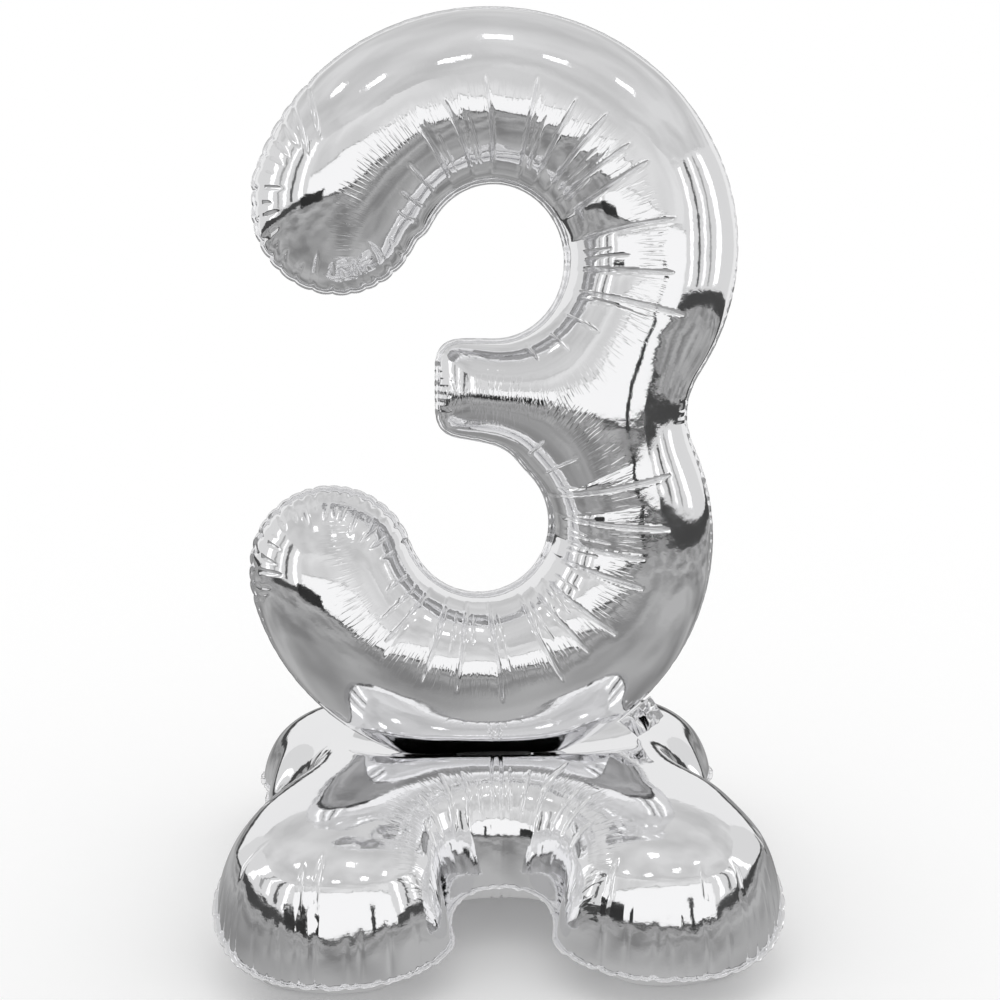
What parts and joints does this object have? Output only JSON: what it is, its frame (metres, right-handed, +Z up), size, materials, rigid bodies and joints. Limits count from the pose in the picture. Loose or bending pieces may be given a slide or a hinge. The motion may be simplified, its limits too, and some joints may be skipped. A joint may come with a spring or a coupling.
{
  "type": "foil number balloon",
  "caption": "Free-standing mirror-foil balloon shaped as a figure 3, welded at its foot to a four-lobed inflated foil pillow base.",
  "frame": {"origin": "on the floor under the middle of the base, which is also the middle of the object's footprint", "axes": "+Z up along the height of the 3, X across it, and the reader of the 3 looks along +Y, so its front faces -Y"},
  "size_m": [0.756, 0.7558, 1.27],
  "materials": {
    "mirror_foil": "mirror-bright metallised film",
    "weld_margin": "mirror-bright film, heat-sealed flat",
    "valve_film": "translucent milky film",
    "weld_adhesive": "clear satin bond"
  },
  "bodies": {
    "base": {"weld_pad": "weld_adhesive", "base_top_panel": "mirror_foil", "base_bottom_panel": "mirror_foil", "base_seam_rim": "weld_margin", "base_valve_film_upper": "valve_film", "base_valve_film_lower": "valve_film"},
    "number": {"number_front_panel": "mirror_foil", "number_back_panel": "mirror_foil", "number_seam_rim": "weld_margin", "number_valve_film_front": "valve_film", "number_valve_film_back": "valve_film"},
    "number_tail": {"number_valve_tail": "mirror_foil"},
    "base_tail": {"base_valve_tail": "mirror_foil"}
  },
  "joints": [
    {"name": "number_rock", "type": "hinge", "parent": "base", "child": "number", "pos_m": [0, 0, 0.2034], "axis": [1, 0, 0], "range_deg": [-5, 5], "stiffness_Nm_per_rad": 4},
    {"name": "number_tail_flap", "type": "hinge", "parent": "number", "child": "number_tail", "pos_m": [0.20992, 0, 0.26734], "axis": [0.766, 0, 0.6428], "range_deg": [-75, 75], "stiffness_Nm_per_rad": 0.02},
    {"name": "base_tail_flap", "type": "hinge", "parent": "base", "child": "base_tail", "pos_m": [0.2918, 0, 0.098], "axis": [0, 1, 0], "range_deg": [-75, 60], "stiffness_Nm_per_rad": 0.02}
  ]
}
